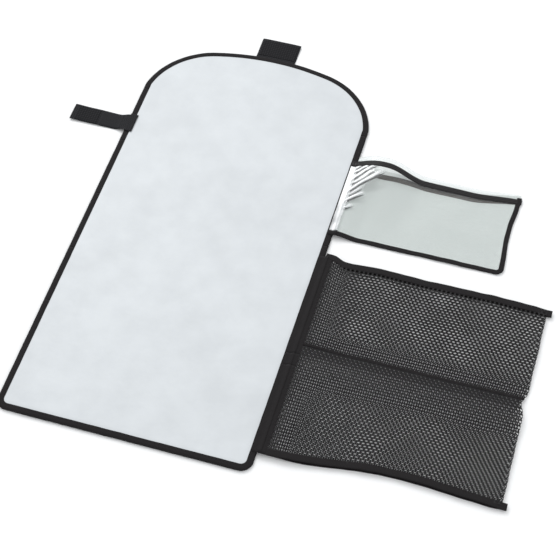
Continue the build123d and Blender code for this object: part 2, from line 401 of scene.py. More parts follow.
def piece(name, bm, finish, slot, stands_for=(), cloth=0.0, offset=-1.0):
    """A bmesh made an object, with its finish; cloth gives a single layer its thickness."""
    for edge in bm.edges:
        edge.smooth = not edge.is_boundary
    mesh = bpy.data.meshes.new(name)
    bm.to_mesh(mesh)
    bm.free()
    mesh.polygons.foreach_set("use_smooth", [True] * len(mesh.polygons))
    mesh.materials.append(bpy.data.materials[finish])
    made = bpy.data.objects.new(name, mesh)
    bpy.context.scene.collection.objects.link(made)
    if cloth:
        solid = made.modifiers.new("Cloth", "SOLIDIFY")
        solid.thickness = cloth
        solid.offset = offset
        solid.use_even_offset = False
    if stands_for:
        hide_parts(*stands_for)
    return made


def ribbon(name, bm, body, stands_for=()):
    """A piece of edge tape on one body."""
    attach(piece(name, bm, "binding_tape", "binding", stands_for), body)


def seam_thread(name, bm, body, slot="binding"):
    """Rows of stitches on one body."""
    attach(piece(name, bm, "sewing_thread", slot), body)


def area_of(bm):
    return sum(face.calc_area() for face in bm.faces)


# --- finishes ---

class Value:
    """A shader socket that can be added, taken away and multiplied."""

    def __init__(self, finish, socket):
        self.finish = finish
        self.socket = socket

    def __add__(self, other):
        return self.finish.sum("ADD", self, other)

    def __mul__(self, other):
        return self.finish.sum("MULTIPLY", self, other)

    def __sub__(self, other):
        return self.finish.sum("SUBTRACT", self, other)

    def __rsub__(self, other):
        return self.finish.sum("SUBTRACT", other, self)

    __radd__ = __add__
    __rmul__ = __mul__


class Finish:
    """One material, and the nodes that make it."""

    def __init__(self, name):
        if name in bpy.data.materials:
            raise RuntimeError(f"another material is already called {name}")
        self.material = bpy.data.materials.new(name)
        self.material.use_nodes = True
        self.tree = self.material.node_tree
        self.tree.nodes.clear()

    def node(self, kind, settings=None, values=None, output=0):
        made = self.tree.nodes.new(kind)
        for setting, value in (settings or {}).items():
            setattr(made, setting, value)
        for name, value in (values or {}).items():
            if isinstance(value, Value):
                self.tree.links.new(value.socket, made.inputs[name])
            else:
                made.inputs[name].default_value = value
        return Value(self, made.outputs[output])

    def sum(self, operation, *values, clamped=False):
        settings = {"operation": operation, "use_clamp": clamped}
        return self.node("ShaderNodeMath", settings, dict(enumerate(values)))

    def flat(self):
        """Coordinates on the flat cloth."""
        return self.node("ShaderNodeTexCoord", output="UV")

    def solid(self):
        """Coordinates through the piece."""
        return self.node("ShaderNodeTexCoord", output="Object")

    def cloud(self, place, scale, detail=2.0, roughness=0.5):
        values = {"Vector": place, "Scale": scale, "Detail": detail, "Roughness": roughness}
        return self.node("ShaderNodeTexNoise", None, values)

    def wave(self, place, scale, direction, distortion=0.0):
        settings = {"wave_type": "BANDS", "bands_direction": direction, "wave_profile": "SIN"}
        values = {"Vector": place, "Scale": scale, "Distortion": distortion, "Detail": 0.0}
        return self.node("ShaderNodeTexWave", settings, values, output="Fac")

    def tint(self, base, darker, share, gain=1.0):
        """The base colour times gain, going to a share of itself where share is 1."""
        base = [part * gain for part in base]
        values = {0: share, 6: (*base, 1), 7: (*(part * darker for part in base), 1)}
        return self.node("ShaderNodeMix", {"data_type": "RGBA"}, values, output=2)

    def bump(self, height, strength, distance, normal=None):
        values = {"Height": height, "Strength": strength, "Distance": distance}
        if normal:
            values["Normal"] = normal
        return self.node("ShaderNodeBump", None, values)

    def surface(self, **values):
        """The material's shader, with its sockets' names spelt with underscores."""
        named = {name.replace("_", " "): value for name, value in values.items()}
        return self.node("ShaderNodeBsdfPrincipled", None, named)

    def done(self, shader):
        end = self.tree.nodes.new("ShaderNodeOutputMaterial")
        self.tree.links.new(shader.socket, end.inputs["Surface"])

    def coat(self, **values):
        """Finish the material with one plain surface."""
        self.done(self.surface(**values))


# A wave texture's scale, times the width that each of its ribs comes out.
WAVE_RIB = 0.16


def colours():
    return bpy.context.scene.pad_colours


def finish_cover():
    """Wipe-clean coated cloth: a soft sheen over a barely visible weave."""
    finish = Finish("cover_cloth")
    flat = finish.flat()
    blotches = finish.cloud(flat, 38, 3, 0.6)
    drift = finish.cloud(flat, 9, 2)
    weave = finish.wave(flat, 420, "X") * finish.wave(flat, 420, "Y")
    grain = finish.cloud(flat, 2200, 2, 0.7)
    mottle = {"Value": blotches * 0.5 + drift * 0.5, "From Min": 0.38, "From Max": 0.62}
    cloudy = finish.node("ShaderNodeMapRange", None, mottle)
    base = finish.tint(colours().cover, 0.93, cloudy)
    normal = finish.bump(weave + grain * 0.5, 0.10, 0.0004)
    rumple = finish.cloud(flat, 26, 3, 0.5) + finish.cloud(flat, 120, 4, 0.6) * 0.15
    normal = finish.bump(rumple, 0.35, 0.0022, normal)
    finish.coat(
        Base_Color=base, Roughness=0.36 + 0.14 * blotches, Normal=normal,
        Specular_IOR_Level=0.42, Sheen_Weight=0.06, Sheen_Roughness=0.4,
    )


def finish_tape(name, base, rib, sheen=0.04):
    """Ribbed woven tape: fine ribs across it, and a fuzz of loose fibres."""
    finish = Finish(name)
    flat = finish.flat()
    ribs = finish.wave(flat, WAVE_RIB / rib, "X", 0.6)
    threads = finish.wave(flat, WAVE_RIB / (rib * 0.6), "Y", 0.4)
    fuzz = finish.cloud(flat, 1800, 3, 0.65)
    wear = finish.cloud(flat, 60, 3, 0.6)
    weave = ribs * (0.65 + threads * 0.35)
    shade = finish.tint(base, 0.4, 1.25 - (weave * 0.75 + wear * 0.4), 2.0)
    normal = finish.bump(weave + fuzz * 0.35, 0.55, 0.00022)
    finish.coat(
        Base_Color=shade, Roughness=0.72 + 0.16 * fuzz, Normal=normal,
        Specular_IOR_Level=0.22, Sheen_Weight=sheen, Sheen_Roughness=0.45,
    )


def finish_backing():
    """Woven nylon backing, in a plain square weave."""
    finish = Finish("backing_cloth")
    flat = finish.flat()
    across = finish.wave(flat, 200, "X", 0.5)
    along = finish.wave(flat, 200, "Y", 0.5)
    weave = across * along + (1 - across) * (1 - along)
    slub = finish.cloud(flat, 70, 4, 0.6)
    shade = finish.tint(colours().backing, 0.45, 1.1 - (weave * 0.65 + slub * 0.4), 1.7)
    normal = finish.bump(weave + finish.cloud(flat, 1500, 2) * 0.3, 0.5, 0.00025)
    finish.coat(
        Base_Color=shade, Roughness=0.6 + 0.15 * slub, Normal=normal,
        Specular_IOR_Level=0.35, Sheen_Weight=0.1, Sheen_Roughness=0.4,
    )


def finish_webbing():
    """Flat nylon webbing in a herringbone weave."""
    finish = Finish("webbing_weave")
    flat = finish.flat()
    slant, counter = (
        finish.node("ShaderNodeMapping", None, {"Vector": flat, "Rotation": (0, 0, math.radians(turn))})
        for turn in (38, -38)
    )
    side = finish.sum("GREATER_THAN", finish.wave(flat, 36, "Y"), 0.5)
    twill = finish.wave(slant, 170, "X") * side + finish.wave(counter, 170, "X") * (1 - side)
    fuzz = finish.cloud(flat, 1700, 3, 0.6)
    shade = finish.tint(colours().webbing, 0.35, 1.15 - (twill * 0.8 + fuzz * 0.3), 2.3)
    normal = finish.bump(twill + fuzz * 0.3, 0.6, 0.0004)
    finish.coat(
        Base_Color=shade, Roughness=0.72 + 0.2 * fuzz, Normal=normal,
        Specular_IOR_Level=0.13, Sheen_Weight=0.02, Sheen_Roughness=0.35,
    )


def finish_grip(name, pitch, soft):
    """Hook tape is a field of stiff dots, and loop tape a matted fuzz."""
    finish = Finish(name)
    flat = finish.flat()
    across, along = (finish.wave(flat, WAVE_RIB / pitch, way, 1.0 + 3 * soft) for way in "XY")
    dots = across * along
    fuzz = finish.cloud(flat, 900, 4, 0.75)
    field = dots * (1 - soft) + fuzz * (0.35 + soft)
    shade = finish.tint(colours().webbing, 0.35, 1.1 - field, 2.0)
    normal = finish.bump(field, 0.8, 0.0006)
    finish.coat(
        Base_Color=shade, Roughness=0.68 + 0.25 * fuzz, Normal=normal,
        Specular_IOR_Level=0.1, Sheen_Weight=0.02 + 0.03 * soft, Sheen_Roughness=0.5,
    )


def finish_mesh():
    """Knitted thread, slightly shiny where it is pulled tight."""
    finish = Finish("mesh_thread")
    place = finish.solid()
    strands = finish.cloud(place, 1400, 3, 0.6)
    wear = finish.cloud(place, 45, 2)
    shade = finish.tint(colours().mesh, 0.4, 1.2 - (strands * 0.9 + wear * 0.4), 2.2)
    normal = finish.bump(strands, 0.6, 0.0003)
    finish.coat(
        Base_Color=shade, Roughness=0.5 + 0.2 * strands, Normal=normal,
        Specular_IOR_Level=0.28, Sheen_Weight=0.03, Sheen_Roughness=0.4,
    )


def finish_foam():
    """Open-cell foam."""
    finish = Finish("sheet_foam")
    place = finish.solid()
    cells = finish.node("ShaderNodeTexVoronoi", None, {"Vector": place, "Scale": 1100.0}, output="Distance")
    shade = finish.tint(colours().foam, 0.72, 1 - cells * 1.4)
    finish.coat(
        Base_Color=shade, Roughness=0.9, Normal=finish.bump(cells, 0.8, 0.0006), Specular_IOR_Level=0.2,
    )


def finish_clear_film():
    """Clear glossy film: bright where it faces a light, with a painted highlight on each crease and painted
    shade in its fold, and see-through elsewhere.
    """
    finish = Finish("glossy_film")
    flat = finish.flat()
    haze = finish.cloud(flat, 30, 3, 0.6)
    creases = finish.cloud(flat, 130, 3, 0.55)
    normal = finish.bump(creases, 0.25, 0.0012)
    # The gleam attribute is painted light: above 0 a painted highlight on a crease, below 0 painted shade in
    # its fold.
    gleam = finish.node("ShaderNodeAttribute", {"attribute_name": "gleam"}, output="Fac")
    bright = finish.sum("MAXIMUM", gleam, 0.0)
    shadow = finish.sum("MAXIMUM", gleam * -1.0, 0.0)
    # Painted shade: the film's colour goes almost black in the crease folds.
    painted_fold_shade = finish.sum("MULTIPLY", shadow, 3.0, clamped=True)
    gloss = finish.surface(
        Base_Color=finish.tint((0.96, 0.97, 0.98), 0.12, painted_fold_shade), Roughness=0.07 + 0.1 * haze, Normal=normal,
        Specular_IOR_Level=0.6, Coat_Weight=0.4, Coat_Roughness=0.05,
    )
    facing = finish.node("ShaderNodeFresnel", None, {"IOR": 1.45, "Normal": normal})
    clear = finish.node("ShaderNodeBsdfTransparent", None, {"Color": (*colours().film, 1)})
    # The painted highlights and painted shade also make the film less see-through there.
    share = finish.sum("ADD", facing * 0.6 + bright * 1.3, shadow * 1.2 + haze * 0.02, clamped=True)
    finish.done(finish.node("ShaderNodeMixShader", None, {0: share, 1: clear, 2: gloss}))


def finish_milky_film():
    """Frosted film at the back of the pouch."""
    finish = Finish("frosted_film")
    flat = finish.flat()
    frost = finish.cloud(flat, 24, 3, 0.6)
    grain = finish.cloud(flat, 1600, 2)
    shade = finish.tint(colours().milky, 0.93, frost)
    finish.coat(
        Base_Color=shade, Roughness=0.34 + 0.1 * frost, Normal=finish.bump(grain, 0.15, 0.0002),
        Specular_IOR_Level=0.4,
    )


def finish_closure(name, base):
    """Pressed plastic closure strip, with a fine rib along it."""
    finish = Finish(name)
    flat = finish.flat()
    ribs = finish.wave(flat, WAVE_RIB / (1.1 * MM), "Y")
    scuff = finish.cloud(flat, 90, 4, 0.6)
    shade = finish.tint(base, 0.6, 1 - ribs * 0.5 - scuff * 0.5, 1.3)
    finish.coat(
        Base_Color=shade, Roughness=0.34 + 0.2 * scuff, Normal=finish.bump(ribs, 0.5, 0.0005),
        Specular_IOR_Level=0.25,
    )


def finish_ground():
    finish = Finish("studio_ground")
    place = finish.solid()
    drift = finish.cloud(place, 3, 2)
    shade = finish.tint(colours().ground, 0.985, drift)
    finish.coat(Base_Color=shade, Roughness=0.85, Specular_IOR_Level=0.15)


# --- the mat's strips ---

# How far inside the mat's edge the cover and the backing end, under the binding.
CLOTH_INSET = 0.8 * MM


def across_share(t):
    """Columns of a strip from -1 to 1, closer together towards the mat's edges."""
    return 0.6 * t + 0.4 * math.sin(t * math.pi / 2)


def strip_ends(number, outline, inset):
    """A strip's lower and upper ends, each a function from -1 at the left to 1 at the right."""

    def straight(y):
        return lambda t: Vector((t * (HALF_WIDTH - inset), y))

    def walked(start, span):
        def end(t):
            place, inward = outline.at(start + t * span)
            return place + inward * inset
        return end

    low, high = straight(STRIP_YS[number]), straight(STRIP_YS[number + 1])
    if number == 0:
        low = walked(0, outline.corner_walk)
    if number == len(STRIP_NAMES) - 1:
        high = walked(outline.length, outline.shoulder_walk - outline.length)
    return low, high


def strip_grid(number, outline, inset, spacing, height):
    """One layer of one strip of the mat; height(x, y) lifts it."""
    low, high = strip_ends(number, outline, inset)
    rows = round((STRIP_YS[number + 1] - STRIP_YS[number]) / spacing)
    columns = 2 * round(HALF_WIDTH / spacing * 0.7)

    def place(u, v):
        t = across_share(2 * u - 1)
        spot = low(t).lerp(high(t), v)
        return Vector((spot.x, spot.y, height(spot.x, spot.y))), (spot.x, spot.y)

    return grid(columns, rows, place)


def bend_strip(made, number):
    """A strip's placement, baked into its mesh."""
    reach = SPINE_WIDTHS[number] * 0.44
    fold = FOLD_YS[number]
    fold - reach
    fold + reach
    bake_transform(made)


def cover_height(outline, sizes):
    """Height of the cover's top face: held low under the tape, and lifted by the foam inside it."""
    held = MAT_TOP - sizes.tape - 0.1 * MM
    lifted = MAT_TOP + 0.02 * MM
    splits = STRIP_YS[1:-1]

    def height(x, y):
        depth = outline.depth(x, y)
        lift = smooth((depth - sizes.binding_width + 1.6 * MM) / (3.4 * MM))
        quiet = smooth(min(abs(y - split) for split in splits) / (9 * MM))
        waves = 0.75 * ripple(x, y, 62 * MM, 1) + 0.25 * ripple(x, y, 24 * MM, 2)
        pucker = 0.5 * ripple(x, y, 8 * MM, 3) * math.exp(-max(depth - sizes.binding_width, 0) / (5 * MM))
        return mix(held, lifted, lift) + sizes.swell * lift * quiet * (waves + pucker)

    return height


def strip_nodes(number, layer):
    return [f"{name}_{layer}" for name in STRIP_NODES[number]]


def lay_strips(layer, outline, spacing, height, finish, slot, cloth, offset):
    """One cloth of the mat, in six strips that each cross one fold line."""
    for number, name in enumerate(STRIP_NAMES):
        bm = strip_grid(number, outline, CLOTH_INSET, spacing, height)
        area = area_of(bm)
        made = piece(f"{layer}_{name}", bm, finish, slot, strip_nodes(number, layer), cloth, offset)
        flat = (2 * (HALF_WIDTH - CLOTH_INSET), STRIP_YS[number + 1] - STRIP_YS[number])
        bend_strip(made, number)
        min(area, flat[0] * flat[1])


class PAD_OT_cover(bpy.types.Operator):
    """Lay the wipe-clean cover over the foam, in six strips that each cross one fold line"""

    bl_idname = "pad.cover"
    bl_label = "Cover"

    def execute(self, context):
        sizes = context.scene.pad_mat
        outline = Outline(sizes)
        height = cover_height(outline, sizes)
        lay_strips(
            "cover", outline, 2.4 * MM, height, "cover_cloth", "top_cover", sizes.cover_cloth, -1.0
        )
        return {"FINISHED"}


class PAD_OT_foam(bpy.types.Operator):
    """Put the sheet foam between cover and backing, nipped thinner at the edge"""

    bl_idname = "pad.foam"
    bl_label = "Foam"

    def execute(self, context):
        sizes = context.scene.pad_mat
        outline = Outline(sizes)
        cover = cover_height(outline, sizes)
        middle = MAT_TOP / 2
        for number, name in enumerate(STRIP_NAMES):
            bm = strip_grid(number, outline, 3 * MM, 5 * MM, lambda x, y: middle)
            bmesh.ops.solidify(bm, geom=bm.faces[:], thickness=1 * MM)
            for vert in bm.verts:
                over = vert.co.z > middle + 0.5 * MM
                nip = smooth((outline.depth(vert.co.x, vert.co.y) - 5 * MM) / (4 * MM))
                top = cover(vert.co.x, vert.co.y) - sizes.cover_cloth - 0.1 * MM
                vert.co.z = top if over else mix(1.15 * MM, 0.6 * MM, nip)
            made = piece(f"foam_{name}", bm, "sheet_foam", "foam", strip_nodes(number, "foam"))
            bend_strip(made, number)
        return {"FINISHED"}


class PAD_OT_backing(bpy.types.Operator):
    """Lay the woven backing under the foam, and let in the patch that the closing tab grips"""

    bl_idname = "pad.backing"
    bl_label = "Backing"

    def execute(self, context):
        sizes = context.scene.pad_mat
        outline = Outline(sizes)

        def height(x, y):
            lap = smooth((outline.depth(x, y) - 6.5 * MM) / (2 * MM))
            return mix(0.55 * MM, 0.08 * MM, lap)

        lay_strips(
            "backing", outline, 3 * MM, height, "backing_cloth", "backing", sizes.backing_cloth, 1.0,
        )
        low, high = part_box("landing_loop_patch")
        patch = soft_block(low, Vector((high.x, high.y, low.z + 0.4 * MM)), 1.2 * MM)
        made = piece("landing_patch", patch, "loop_fuzz", "loop_tape", ["landing_loop_patch"])
        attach(made, "mat_middle")
        return {"FINISHED"}


def soft_block(low, high, rounding, spacing=1.5 * MM, lift=None):
    """A flat patch with soft edges; lift(x) raises it along a curved carrier."""
    size = high - low

    def place(u, v):
        x, y = mix(low.x, high.x, u), mix(low.y, high.y, v)
        edge = min(x - low.x, high.x - x, y - low.y, high.y - y)
        drop = (1 - smooth(edge / rounding)) * size.z * 0.55
        return Vector((x, y, high.z - drop + (lift(x) if lift else 0))), (x, y)

    bm = grid(max(4, round(size.x / spacing)), max(4, round(size.y / spacing)), place)
    bmesh.ops.solidify(bm, geom=bm.faces[:], thickness=size.z * 0.45)
    return bm


def edge_frames(outline, start, end):
    """Frames round the mat's edge: the edge point on the ground, the way in, and up."""
    def frame_at(share):
        place, inward = outline.at(mix(start, end, share))
        return Vector((place.x, place.y, 0)), Vector((inward.x, inward.y, 0)), UP
    return frame_at


def binding_section(sizes):
    """Edge tape folded over cover, foam and backing: (in, up) corners round it, outside then inside."""
    width, top, cloth = sizes.binding_width, MAT_TOP, sizes.tape
    outside = [
        (width, top - cloth), (width + 0.15 * MM, top - 0.15 * MM), (width - 0.5 * MM, top + 0.08 * MM),
        (width * 0.72, top + 0.02 * MM), (width * 0.45, top + 0.14 * MM), (width * 0.2, top + 0.02 * MM),
        (0.5 * MM, top * 0.84), (0, top * 0.6), (0, top * 0.36), (0.5 * MM, top * 0.12),
        (width * 0.2, 0.02 * MM), (width * 0.6, 0), (width - 0.4 * MM, 0.02 * MM), (width, cloth * 0.9),
    ]
    inside = [
        (1.6 * MM, cloth), (0.8 * MM, top * 0.3), (0.6 * MM, top * 0.5), (0.8 * MM, top * 0.7),
        (1.6 * MM, top - cloth),
    ]
    return outside + inside


class PAD_OT_edge_binding(bpy.types.Operator):
    """Fold the black tape over the mat's edge and sew it down all round"""

    bl_idname = "pad.edge_binding"
    bl_label = "Edge binding"

    def execute(self, context):
        sizes = context.scene.pad_mat
        outline = Outline(sizes)
        section = binding_section(sizes)
        seam = sizes.binding_width * 0.72
        last = len(STRIP_NAMES) - 1
        for number, name in enumerate(STRIP_NAMES):
            low = outline.walk_to(STRIP_YS[number])
            if number == last:
                runs = [(low, 2 * outline.length - low)]
            else:
                high = outline.walk_to(STRIP_YS[number + 1])
                runs = [(low, high), (-low, -high)] if number else [(-high, high)]
            tapes, threads = [], []
            for start, end in runs:
                frames = edge_frames(outline, start, end)
                walked = abs(end - start)
                tapes.append(tape(walked, 2.2 * MM, frames, section))
                threads.append(stitches(walked, sizes, frames, seam, MAT_TOP + 0.05 * MM))
            tapes, threads = joined(*tapes), joined(*threads)
            soften(tapes, *EDGE_WAVES)
            soften(threads, *EDGE_WAVES)
            made = piece(f"binding_{name}", tapes, "binding_tape", "binding", strip_nodes(number, "binding"))
            bend_strip(made, number)
            bend_strip(piece(f"binding_stitches_{name}", threads, "sewing_thread", "binding"), number)
        return {"FINISHED"}


# --- strap and tab ---

def strap_height(x):
    """Height of the strap's underside: over the mat's edge, down to the ground, and along it in a wave."""
    root = JOINTS["strap_swing"].x
    fall = smooth((root + 1.5 * MM - x) / (13 * MM))
    out = max(root - 12 * MM - x, 0)
    wave = 0.45 * MM * (1 - math.cos(out / (8.5 * MM))) * smooth(out / (10 * MM))
    tip = 1.6 * MM * smooth((JOINTS["strap_loop_back"].x - 12 * MM - x) / (20 * MM))
    return mix(MAT_TOP + 0.25 * MM, 0.12 * MM, fall) + wave + tip


def webbing_run(start, end, low, high, thickness, height):
    """Flat webbing lying along X between two places, over a curved height."""
    middle = (low + high) / 2

    def frame_at(share):
        x = mix(start, end, share)
        step = 0.5 * MM
        slope = Vector((2 * step, 0, height(x + step) - height(x - step))).normalized()
        above = Vector((-slope.z, 0, slope.x))
        return Vector((x, middle, height(x))) + above * thickness / 2, Vector((0, 1, 0)), above

    return tape(abs(end - start), 1.2 * MM, frame_at, band(high - low, thickness, 18))


class PAD_OT_strap(bpy.types.Operator):
    """Sew the hook-and-loop strap to the mat's left edge"""

    bl_idname = "pad.strap"
    bl_label = "Strap"

    def execute(self, context):
        sizes = context.scene.pad_mat
        base_low, base_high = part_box("strap_base")
        inner_low, inner_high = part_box("strap_inner_webbing")
        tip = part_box("strap_outer_webbing")[0].x
        cloth = inner_high.z - inner_low.z
        sides = (inner_low.y, inner_high.y)
        middle = sum(corner.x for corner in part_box("strap_loop_patch")) / 2

        root = webbing_run(base_high.x - 0.8 * MM, middle, *sides, cloth * 0.8, strap_height)
        lapped = soft_block(
            Vector((base_low.x + 0.4 * MM, base_low.y + 0.3 * MM, MAT_TOP + 0.9 * MM)),
            Vector((base_high.x, base_high.y - 0.3 * MM, base_high.z + 0.35 * MM)), 1.4 * MM, 1 * MM,
        )
        nodes = ["strap_base", "strap_inner_webbing"]
        made = piece("strap_root", joined(root, lapped), "webbing_weave", "webbing", nodes)
        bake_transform(made)

        outer = webbing_run(middle, tip, *sides, cloth * 0.8, strap_height)
        made = piece("strap_tip", outer, "webbing_weave", "webbing", ["strap_outer_webbing"])
        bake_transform(made)

        for name, body, grip in (("loop", "strap_inner", "loop_fuzz"), ("hook", "strap_outer", "hook_field")):
            low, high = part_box(f"strap_{name}_patch")
            low, high = Vector((low.x, low.y, 0)), Vector((high.x, high.y, 0.5 * MM))
            patch = soft_block(
                low, high, 0.6 * MM, 1 * MM, lambda x: strap_height(x) + cloth * 0.8 - 0.2 * MM
            )
            made = piece(f"{name}_patch_of_strap", patch, grip, f"{name}_tape", [f"strap_{name}_patch"])
            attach(made, body)

        def sewn(share):
            y = mix(base_low.y + 1.6 * MM, base_high.y - 1.6 * MM, share)
            return Vector((0, y, 0)), Vector((1, 0, 0)), UP

        walked = base_high.y - base_low.y - 3.2 * MM
        rows = [
            stitches(walked, sizes, sewn, x, base_high.z + 0.35 * MM)
            for x in (base_low.x + 2.2 * MM, base_high.x - 1.8 * MM)
        ]
        seam_thread("strap_stitches", joined(*rows), "mat_upper", "webbing")
        return {"FINISHED"}


class PAD_OT_tab(bpy.types.Operator):
    """Sew the closing tab under the end of the flap"""

    bl_idname = "pad.tab"
    bl_label = "Closing tab"

    def execute(self, context):
        sizes = context.scene.pad_mat
        low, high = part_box("tab_webbing")
        patch_low, patch_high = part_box("tab_hook_patch")
        hinge = JOINTS["tab_peel"]
        start = hinge.y - 1.2 * MM
        cloth = high.z - low.z

        def height(y):
            return 0.15 * MM + 1.1 * MM * smooth((y - hinge.y - 4 * MM) / (high.y - hinge.y))

        def frame_at(share):
            y = mix(start, high.y, share)
            return Vector((0, y, height(y) + cloth / 2)), Vector((1, 0, 0)), UP

        webbing = tape(high.y - start, 1.4 * MM, frame_at, band(high.x - low.x, cloth, 18))
        made = piece("tab_strip", webbing, "webbing_weave", "webbing", ["tab_webbing"])
        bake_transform(made)

        bm = soft_block(
            Vector((patch_low.x, patch_low.y - 1.5 * MM, 0)),
            Vector((patch_high.x, patch_high.y, 0.45 * MM)), 0.7 * MM, 1 * MM,
        )
        for vert in bm.verts:
            vert.co.z += height(vert.co.y) + cloth - 0.1 * MM
        made = piece("tab_hooks", bm, "hook_field", "hook_tape", ["tab_hook_patch"])
        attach(made, "closing_tab")

        rows = []
        inset = 1.3 * MM
        left, right = patch_low.x + inset, patch_high.x - inset
        near, far = patch_low.y + inset, patch_high.y - inset
        for (x0, y0), (x1, y1) in (
            ((left, near), (right, near)), ((left, far), (right, far)),
            ((left, near), (left, far)), ((right, near), (right, far)),
        ):
            along = Vector((x1 - x0, y1 - y0, 0))
            side = UP.cross(along).normalized()

            def sewn(share, x0=x0, y0=y0, along=along, side=side):
                place = Vector((x0, y0, 0)) + along * share
                return Vector((place.x, place.y, height(place.y) + cloth + 0.3 * MM)), side, UP

            rows.append(stitches(along.length, sizes, sewn, 0, 0))
        seam_thread("tab_stitches", joined(*rows), "closing_tab", "hook_tape")
        return {"FINISHED"}


# --- mesh pockets ---

# How far the holes of the back layer and of the divider stand off the front's: in hole and row pitches.
BACK_PHASE = (0.42, 0.3)
DIVIDER_PHASE = (0.3, 0.55)


class MeshPanel:
    """How the pockets' two mesh layers lie. Along the panel the mesh is measured unrolled: out over the
    front layer, round the folded outer edge, and back along the under layer."""

    def __init__(self, sizes):
        self.sizes = sizes
        self.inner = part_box("upper_pocket_front_mesh")[0].x
        self.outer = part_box("upper_pocket_outer_fold")[1].x
        self.pivot = JOINTS["mesh_fold_upper"]
        self.fold_low, self.fold_high = FOLD_YS[:2]
        self.low_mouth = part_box("lower_pocket_front_hem")[0].y
        self.high_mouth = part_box("upper_pocket_front_hem")[1].y
        self.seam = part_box("pocket_divider")[1].y - 1.8 * MM
        self.turn_start = self.outer - sizes.turn / math.pi
        self.turn_end = self.turn_start + sizes.turn
        self.far = self.turn_end + self.turn_start - self.inner

    def held(self, x, y):
        """1 where the layers are drawn up to the height of the fold, and 0 where they lie loose."""
        off_fold = max(self.fold_low - y, y - self.fold_high, 0)
        over_fold = 1 - smooth(off_fold / (24 * MM))
        by_mat = 1 - smooth((x - self.inner) / (40 * MM))
        return 1 - (1 - over_fold) * (1 - by_mat)

    def parted(self, x, y):
        """1 where the layers stand apart, and 0 where a seam holds them together."""
        off_seam = max(self.fold_low - y, y - self.seam, 0)
        return smooth(off_seam / (26 * MM)) * smooth((x - self.inner) / (28 * MM))

    def back(self, x, y):
        ground = 0.45 * MM + 0.3 * MM * (1 + ripple(x, y, 30 * MM, 11))
        return mix(ground, self.pivot.z - 0.3 * MM, self.held(x, y))

    def front(self, x, y):
        waves = 0.9 * MM * ripple(x, y, 34 * MM, 12) + 0.4 * MM * ripple(x, y, 13 * MM, 13)
        gap = 0.6 * MM + self.parted(x, y) * (self.sizes.slack + waves)
        return min(self.back(x, y) + gap, 6.0 * MM)

    def edge_x(self, y):
        """Where the outer edge runs: drawn in by the seam, and a little slack between."""
        drawn = self.sizes.pull * math.exp(-(((y - self.seam + 6 * MM) / (9 * MM)) ** 2))
        return self.outer - drawn - 0.9 * MM * (1 + ripple(0, y, 26 * MM, 14))

    def shift_y(self, x, y):
        """The lower mouth isn't straight: it droops by the mat and lifts beyond the middle."""
        if y > self.fold_high:
            toward_mouth = smooth((y - self.seam) / (self.high_mouth - self.seam))
            rise = 4 * MM * (1 - smooth((x - self.inner) / (13 * MM)))
            dip = -1.8 * MM * math.exp(-(((x - self.inner - 20 * MM) / (14 * MM)) ** 2))
            return (rise + dip + 1.2 * MM * ripple(x, 0, 55 * MM, 15)) * toward_mouth
        toward_mouth = smooth((self.fold_low - y) / (self.fold_low - self.low_mouth))
        droop = -7 * MM * (1 - smooth((x - self.inner) / (100 * MM)))
        lift = 5 * MM * math.exp(-(((x - self.inner - 128 * MM) / (62 * MM)) ** 2))
        return (droop + lift) * toward_mouth

    def place(self, run, y):
        """Where a point of the unrolled mesh lies."""
        stretch = (self.edge_x(y) - self.inner) / (self.outer - self.inner)
        if run <= self.turn_start:
            x = self.inner + (run - self.inner) * stretch
            return Vector((x, y + self.shift_y(x, y), self.front(x, y)))
        if run >= self.turn_end:
            x = self.inner + (self.turn_start - (run - self.turn_end) - self.inner) * stretch
            return Vector((x, y + self.shift_y(x, y), self.back(x, y)))
        x = self.inner + (self.turn_start - self.inner) * stretch
        top, bottom = self.front(x, y), self.back(x, y)
        swing = (run - self.turn_start) / self.sizes.turn * math.pi
        reach = max((top - bottom) / 2, 0.4 * MM)
        middle = (top + bottom) / 2
        out = self.sizes.turn / math.pi
        return Vector((x + out * math.sin(swing), y + self.shift_y(x, y), middle + reach * math.cos(swing)))


def knit(low_run, high_run, low_y, high_y, sizes, phase):
    """Flat knitted mesh with real holes, cut to a rectangle: staggered rows of rounded hexagons."""
    pitch, row = sizes.pitch, sizes.row
    first_column = math.floor(low_run / pitch) - 1
    first_row = 2 * (math.floor(low_y / row / 2) - 1) + phase[1]
    columns = math.ceil(high_run / pitch) - first_column + 1
    rows = math.ceil(high_y / row - first_row) + 2
    radius = row * 2 / 3
    squeeze = Matrix.Diagonal((pitch / (math.sqrt(3) * radius), 1, 1, 1))
    bm = bmesh.new()
    for column in range(columns):
        spot = Matrix.Translation(((first_column + column + phase[0]) * pitch, first_row * row, 0))
        bmesh.ops.create_circle(bm, cap_ends=True, segments=6, radius=radius, matrix=spot @ squeeze)
    first = bm.verts[:] + bm.edges[:] + bm.faces[:]
    for number in range(1, rows):
        copied = bmesh.ops.duplicate(bm, geom=first)["geom"]
        verts = [part for part in copied if isinstance(part, bmesh.types.BMVert)]
        bmesh.ops.translate(bm, verts=verts, vec=((number % 2) * pitch / 2, number * row, 0))
    bmesh.ops.remove_doubles(bm, verts=bm.verts, dist=pitch / 20)
    bmesh.ops.subdivide_edges(bm, edges=bm.edges, cuts=1)
    holes = bm.faces[:]
    bmesh.ops.inset_individual(bm, faces=holes, thickness=(pitch - sizes.hole_width) / 2)
    for hole in holes:
        middle = hole.calc_center_median()
        for vert in hole.verts:
            out = (vert.co - middle).normalized()
            vert.co = middle + Vector((out.x * sizes.hole_width / 2, out.y * sizes.hole_height / 2, 0))
    bmesh.ops.delete(bm, geom=holes, context="FACES_ONLY")
    for place, way in (
        ((low_run, 0, 0), (-1, 0, 0)), ((high_run, 0, 0), (1, 0, 0)),
        ((0, low_y, 0), (0, -1, 0)), ((0, high_y, 0), (0, 1, 0)),
    ):
        everything = bm.verts[:] + bm.edges[:] + bm.faces[:]
        bmesh.ops.bisect_plane(bm, geom=everything, plane_co=place, plane_no=way, clear_outer=True)
    return bm


